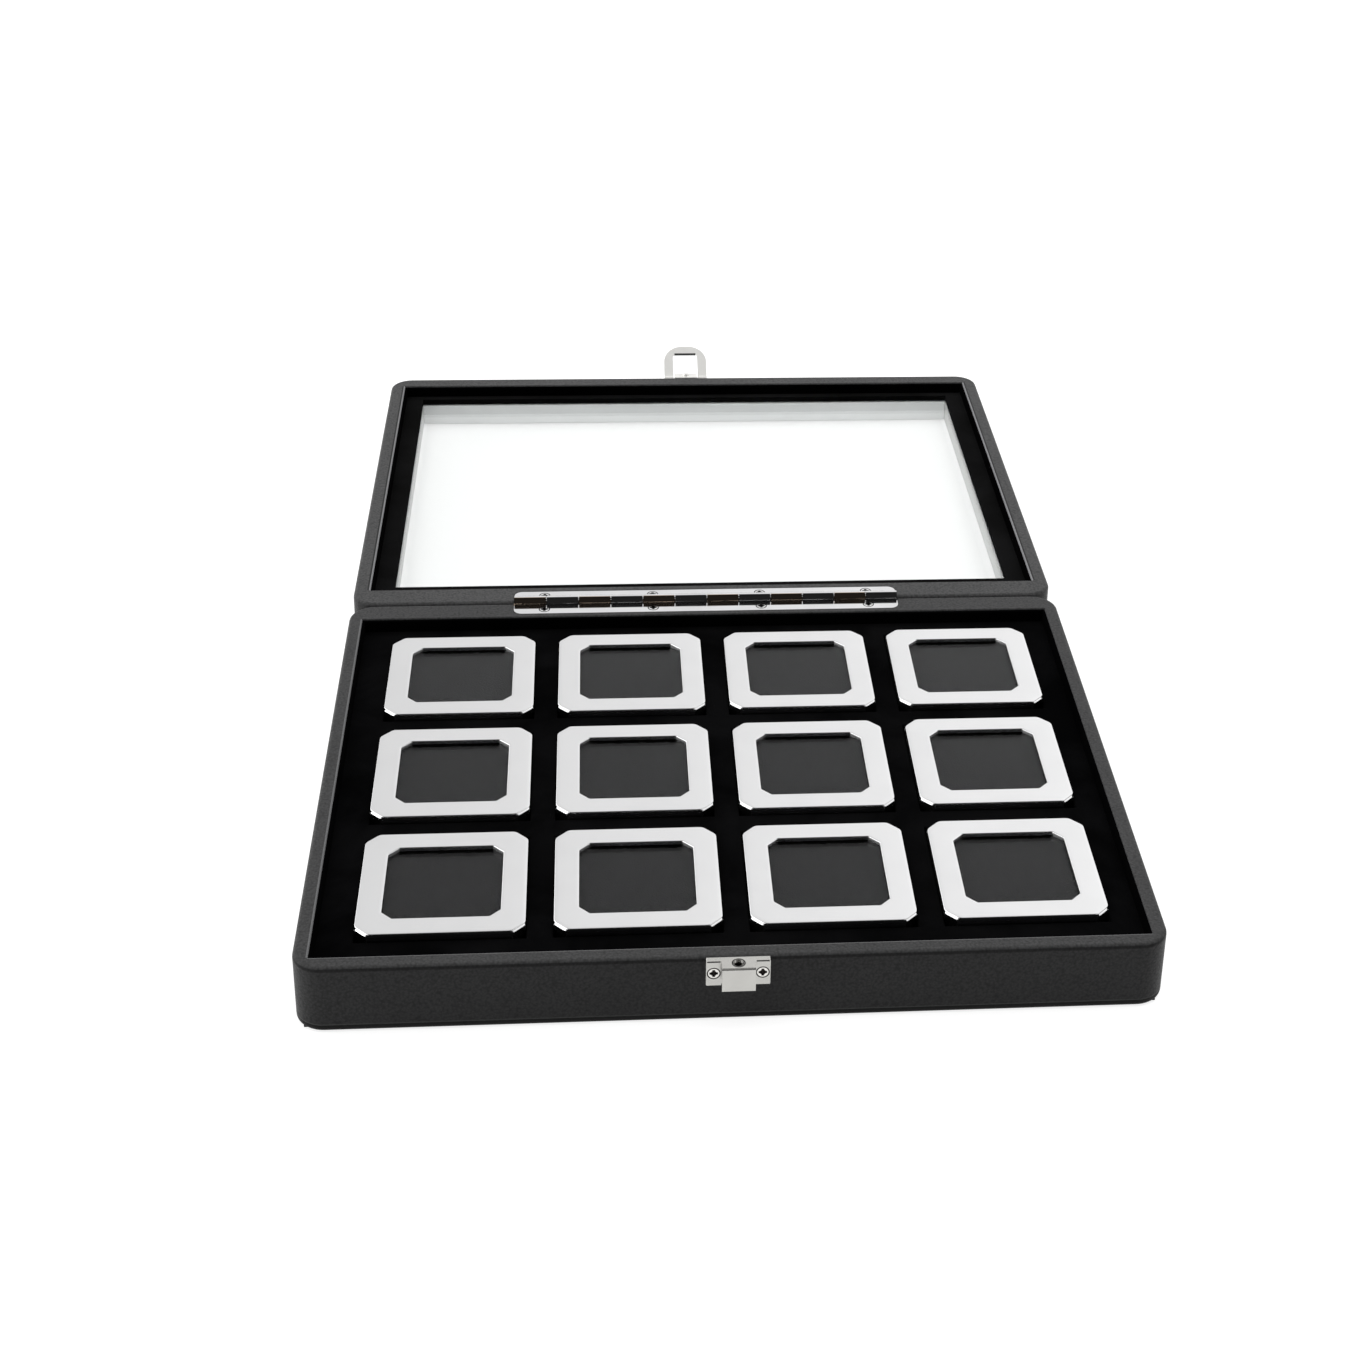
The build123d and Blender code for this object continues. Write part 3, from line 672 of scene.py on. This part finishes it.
def gemFrameRows(look, top):
    # The section runs up the outer side, over the top, down the window's side and round the skirt.
    half, edge, crown, bevel = look["half"], look["edge"], look["crown"], look["skirtEdge"]
    foot = top - look["plate"]
    turn = np.linspace(0, math.pi / 2, 5)
    rows = [octagonRow(half, look["footCut"], z) for z in (foot, top - crown - edge - look["slope"])]
    for a in turn:  # outer edge
        inset = edge * (1 - math.cos(a))
        cut = look["topCut"] - cutShare * inset
        rows.append(octagonRow(half - inset, cut, top - crown - edge * (1 - math.sin(a))))
    for t in (0.15, 0.35, 0.6, 0.9):  # crowned top
        width = half - edge + t * (look["window"] - half + 2 * edge)
        cut = look["topCut"] + t * (look["windowCut"] - look["topCut"])
        rows.append(octagonRow(width, cut, top - crown * (1 - t) ** 3))
    for a in turn:  # window's edge
        width = look["window"] + edge * (1 - math.sin(a))
        z = top - edge * (1 - math.cos(a))
        rows.append(octagonRow(width, look["windowCut"], z, look["windowRound"]))
    rows.append(octagonRow(look["window"], look["windowCut"], foot, look["windowRound"]))
    outer = half - look["skirtInset"]
    inner = outer - look["skirtWall"]
    drop = foot - look["skirtDrop"]
    skirt = (
        (inner, foot), (inner, drop + bevel), (inner + bevel, drop),
        (outer - bevel, drop), (outer, drop + bevel), (outer, foot),
    )
    for width, z in skirt:
        rows.append(octagonRow(width, look["skirtCut"] - cutShare * (half - width), z))
    return rows


gemPane = {
    "inset": 2.25 * mm,      # outside of the frame to the pane's edge
    "gap": 0.02 * mm,        # plate to the pane's upper face
    "foot": 1.1 * mm,        # plate to its lower face
    "edge": 0.1 * mm,        # bevel round it
}


def gemPaneRows(look, under):
    # Four rows up the pane's bevelled side, from its lower face to its upper face.
    inset, bevel = look["inset"], look["edge"]
    half = gemFrame["half"] - inset
    cut = gemFrame["skirtCut"] - cutShare * inset
    low, high = under - look["foot"], under - look["gap"]
    levels = ((half - bevel, low), (half, low + bevel), (half, high - bevel), (half - bevel, high))
    return [octagonRow(width, cut, z) for width, z in levels]


def makeGemLid(name):
    low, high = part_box("gem_tray_" + name)
    middle = ((low[0] + high[0]) / 2, (low[1] + high[1]) / 2, 0)
    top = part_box("gem_lid_" + name)[1][2]
    body = "gem_cover_" + name
    mesh = loft("gemFrame_" + name, np.array(gemFrameRows(gemFrame, top)) + middle, closed=True)
    framePiece = addPiece("gemFrame_" + name, mesh, gemFrameChrome, body, 25)
    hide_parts("gem_lid_" + name)
    rows = np.array(gemPaneRows(gemPane, top - gemFrame["plate"])) + middle
    pane = addPiece("gemPane_" + name, loft("gemPane_" + name, rows, capped=True), gemGlass, body, 20)


foamPad = {
    "round": 0.9 * mm,       # upper edge
    "crown": 0.12 * mm,      # the top's middle stands this much higher than its edge
    "pull": 0.25 * mm,       # the sides are drawn in this much at half height
    "footInset": 0.3 * mm,   # lower edge
    "footLift": 0.2 * mm,
    "tipRound": 1.0 * mm,    # corner rounding of the flat faces, times their share of the width
    "leastCut": 0.1 * mm,
    "dent": 0.04 * mm,       # soft dents of the top
    "waves": (240, 210),     # their radians per metre along X and Y
    "dentAbove": 2.0 * mm,   # nothing below this height is dented
    "seed": 4,
}


def foamPadRows(look, half, foot, top):
    # Upright section of a cut foam sheet, carried round the cut-cornered square: the sides are drawn in
    # a little at half height and the top is crowned, lowest at its edge.
    cut = gemFrame["footCut"] - cutShare * (gemFrame["half"] - half)
    edge, crown, lift = look["round"], look["crown"], look["footLift"]
    rows = [octagonRow(w * half, w * cut, foot, look["tipRound"] * w) for w in (0.02, 0.4, 0.8)]
    rows.append(octagonRow(half - look["footInset"], cut, foot))
    for t in np.linspace(0, 1, 7):  # side
        z = foot + lift + t * (top - crown - edge - foot - lift)
        rows.append(octagonRow(half - look["pull"] * math.sin(math.pi * t), cut, z))
    for a in np.linspace(0.2, math.pi / 2, 5):  # upper edge
        inset = edge * (1 - math.cos(a))
        rows.append(octagonRow(half - inset, cut, top - crown - edge * (1 - math.sin(a))))
    for w in (0.93, 0.85, 0.7, 0.5, 0.25, 0.02):  # crowned top
        width, tipCut = w * (half - edge), max(w * cut, look["leastCut"])
        rows.append(octagonRow(width, tipCut, top - crown * w ** 4, look["tipRound"] * w))
    return np.array(rows)


def makeFoamPad(name, number):
    # The top of the padded form is lowered by the size of a product of two slow sines.
    look = foamPad
    low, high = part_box("foam_pad_" + name)
    foot = low[2]
    rows = foamPadRows(look, (high[0] - low[0]) / 2, foot, high[2])
    random = np.random.default_rng(look["seed"] + number)
    phase = random.uniform(0, 2 * math.pi, 4)
    waveX = np.sin(rows[..., 0] * look["waves"][0] + phase[0])
    waveY = np.sin(rows[..., 1] * look["waves"][1] + phase[1])
    rows[..., 2] -= np.abs(look["dent"] * waveX * waveY) * (rows[..., 2] > foot + look["dentAbove"])
    rows = rows + ((low[0] + high[0]) / 2, (low[1] + high[1]) / 2, 0)
    mesh = loft("gemFoam_" + name, rows, capped=True)
    pad = addPiece("gemFoam_" + name, mesh, foam, "gem_box_" + name, 60)
    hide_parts("foam_pad_" + name)


for number, name in enumerate(gemNames):
    makeGemLid(name)
    makeFoamPad(name, number)
print("gem boxes dressed:", len(gemNames))


floorLook = {
    "half": 6.0,             # metres from the middle to each side
    "fibres": 900.0,         # per metre, as the strokes of the blotch are
    "strokes": 2.0,
    "dark": (0.33, 0.33, 0.33),
    "light": (0.35, 0.35, 0.35),
    "glow": 0.8,             # what the camera and mirrors see on top, so that it is as white as the sweep
    "windowGlow": 0.44,      # the same under the lid's window, lowered there as painted shade where the floor is a little shaded
    "windowFade": 4.0 * mm,
}


def makeFloor(look):
    # A flat square that glows for every ray but diffuse ones, and less inside the window's outline as
    # painted shade.
    half = look["half"]
    mesh = bpy.data.meshes.new("floor")
    corners = [(-half, -half, 0), (half, -half, 0), (half, half, 0), (-half, half, 0)]
    mesh.from_pydata(corners, [], [(0, 1, 2, 3)])
    floor = bpy.data.objects.new("floor", mesh)
    bpy.context.scene.collection.objects.link(floor)
    material, tree, shader = newMaterial(
        "paleFloor", Roughness=0.9, Specular_IOR_Level=0.0, Emission_Color=(1, 1, 1, 1)
    )
    point = objectPoint(tree)
    sizes = {"Fibres_per_metre": look["fibres"], "Strokes_per_metre": look["strokes"]}
    grain = useGroup(tree, velvetPile, point, **sizes)
    colour = mixColours(tree, grain.outputs["Nap"], look["dark"], look["light"])
    tree.links.new(colour, shader.inputs["Base Color"])
    rays = addNode(tree, "ShaderNodeLightPath")
    low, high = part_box("lid_glass")
    fade = look["windowFade"]
    middle = (0, (low[1] + high[1]) / 2, 0)
    under = boxMask(tree, point, middle, (high[0], (high[1] - low[1]) / 2 + fade, 1), fade)
    glow = mapRange(tree, under, 0.0, 1.0, look["glow"], look["windowGlow"])
    seen = mapRange(tree, rays.outputs["Is Diffuse Ray"], 0.0, 1.0, 1.0, 0.0)
    tree.links.new(mathNode(tree, "MULTIPLY", glow, seen), shader.inputs["Emission Strength"])
    mesh.materials.append(material)


skyLook = {
    "back": 0.95,                 # low sky behind the case
    "backShares": (0.78, 1.07),   # its brightness at the left and at the right
    "flanks": (2.0, 0.9),         # tall softboxes at the left and the right
    "dark": 0.015,                # overhead and behind the camera
}


def makeSky(look):
    # Brightness by direction: the back and the flanks are products of ramps along X, Y and Z, the
    # brighter of the two counts, and a little is added everywhere.
    world = bpy.data.worlds.new("studio")
    bpy.context.scene.world = world
    world.use_nodes = True
    tree = world.node_tree
    spot = addNode(tree, "ShaderNodeTexCoord")
    parts = addNode(tree, "ShaderNodeSeparateXYZ")
    tree.links.new(spot.outputs["Generated"], parts.inputs[0])
    x, y, z = (parts.outputs[axis] for axis in "XYZ")
    ahead = mapRange(tree, y, -0.25, 0.05, 0.0, 1.0)
    lowSky = mapRange(tree, z, 0.74, 0.86, 1.0, 0.0)
    across = mapRange(tree, x, -0.12, 0.3, *look["backShares"])
    back = mathNode(tree, "MULTIPLY", mathNode(tree, "MULTIPLY", ahead, lowSky), look["back"])
    outside = mapRange(tree, mathNode(tree, "ABSOLUTE", x), 0.36, 0.5, 0.0, 1.0)
    flankShare = mapRange(tree, x, -0.4, 0.4, *look["flanks"])
    beside = mapRange(tree, y, -0.7, -0.4, 0.0, 1.0)
    flank = mathNode(tree, "MULTIPLY", mathNode(tree, "MULTIPLY", outside, beside), flankShare)
    lit = mathNode(tree, "MAXIMUM", mathNode(tree, "MULTIPLY", back, across), flank)
    background = tree.nodes["Background"]
    background.inputs["Color"].default_value = (1, 1, 1, 1)
    tree.links.new(mathNode(tree, "ADD", lit, look["dark"]), background.inputs["Strength"])


softboxes = {  # places and size in metres, power in watts
    "topLight": {"place": (0.0, 0.4, 2.2), "target": (0, 0.12, 0), "size": 2.4, "power": 50.0},
    "rightLight": {"place": (1.6, 0.9, 1.3), "target": (0, 0.1, 0), "size": 1.2, "power": 8.0},
}


def addSoftbox(name, look):
    light = bpy.data.lights.new(name, "AREA")
    light.shape = "SQUARE"
    light.size, light.energy = look["size"], look["power"]
    holder = bpy.data.objects.new(name, light)
    holder.location = look["place"]
    aim = Vector(look["target"]) - Vector(look["place"])
    holder.rotation_euler = aim.to_track_quat("-Z", "Y").to_euler()
    holder.visible_glossy = False   # metal and glass reflect the sky alone
    bpy.context.scene.collection.objects.link(holder)


view = {
    "place": (-0.0468, -0.80019, 0.56053),
    "yaw": 0.10516,
    "pitch": 0.45357,
    "roll": 0.03692,
    "focal": 2432.07,            # in pixels of the 1367 pixel frame
    "axis": (144.75, -249.43),   # lens axis from the middle of the frame, right and down, in pixels
    "pixels": 1367,
    "sensor": 36.0,              # in millimetres
    "clip": (0.05, 30),          # in metres
}


def addCamera(look):
    # Yaw turns the view to the right, pitch down, and roll turns the frame about the lens axis.
    yaw, pitch, roll = look["yaw"], look["pitch"], look["roll"]
    forward = Vector((math.sin(yaw) * math.cos(pitch), math.cos(yaw) * math.cos(pitch), -math.sin(pitch)))
    right = Vector((math.cos(yaw), -math.sin(yaw), 0))
    up = right.cross(forward)
    turnedRight = right * math.cos(roll) + up * math.sin(roll)
    turnedUp = up * math.cos(roll) - right * math.sin(roll)
    data = bpy.data.cameras.new("camera")
    data.sensor_width = look["sensor"]
    data.lens = look["focal"] / look["pixels"] * look["sensor"]
    data.shift_x = -look["axis"][0] / look["pixels"]
    data.shift_y = look["axis"][1] / look["pixels"]
    data.clip_start, data.clip_end = look["clip"]
    camera = bpy.data.objects.new("camera", data)
    rows = [[turnedRight[i], turnedUp[i], -forward[i], look["place"][i]] for i in range(3)]
    camera.matrix_world = Matrix((*rows, (0, 0, 0, 1)))
    bpy.context.scene.collection.objects.link(camera)
    bpy.context.scene.camera = camera


makeFloor(floorLook)
makeSky(skyLook)
for name, look in softboxes.items():
    addSoftbox(name, look)
addCamera(view)
bpy.context.scene.view_settings.view_transform = "Standard"
print("stage set")
